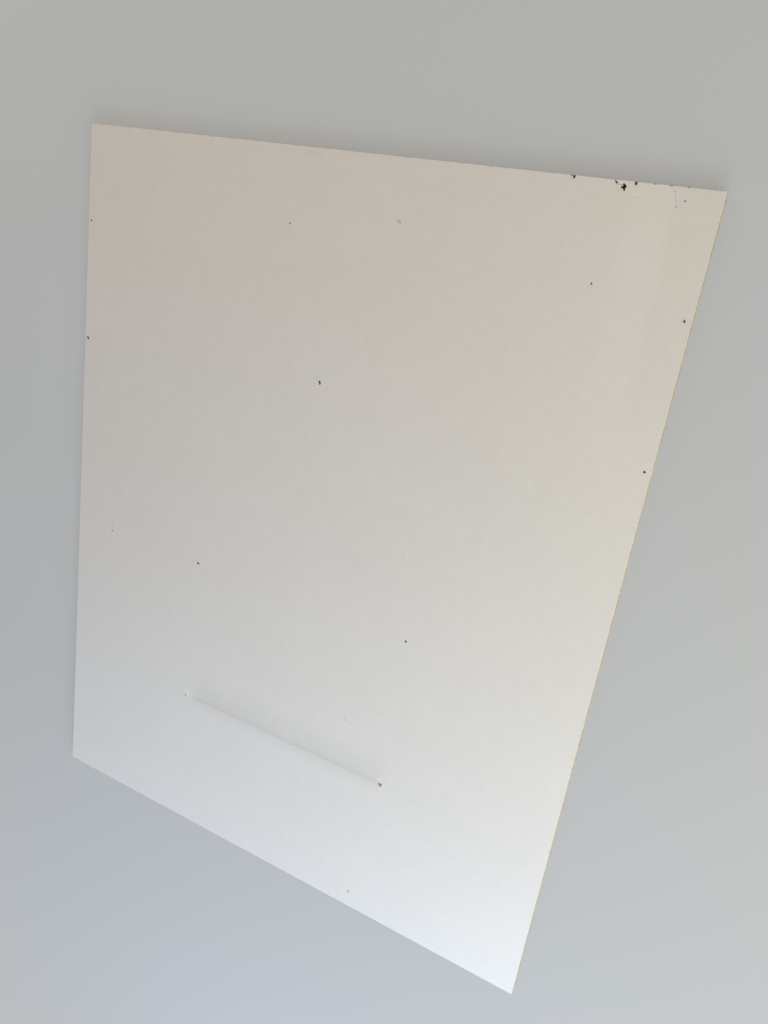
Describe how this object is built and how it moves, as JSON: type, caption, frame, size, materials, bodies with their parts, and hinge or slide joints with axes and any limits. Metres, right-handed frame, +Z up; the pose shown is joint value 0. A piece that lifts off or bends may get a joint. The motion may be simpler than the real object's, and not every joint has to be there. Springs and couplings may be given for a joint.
{
  "type": "chipboard sheet",
  "caption": "Flat rectangular chipboard sheet with white faces and raw sawn edges, with old screw holes and a chipped top edge, for lining a wall or shelving.",
  "frame": {"origin": "middle of the back face, which lies on the floor", "axes": "+X across the sheet, +Y along it towards the chipped top edge, +Z up out of the good white face"},
  "size_m": [1.22, 1.52, 0.018],
  "materials": {
    "faced_chipboard": "satin white facing on raw chipboard"
  },
  "bodies": {
    "root": {"chipboard_sheet": "faced_chipboard"}
  },
  "joints": []
}
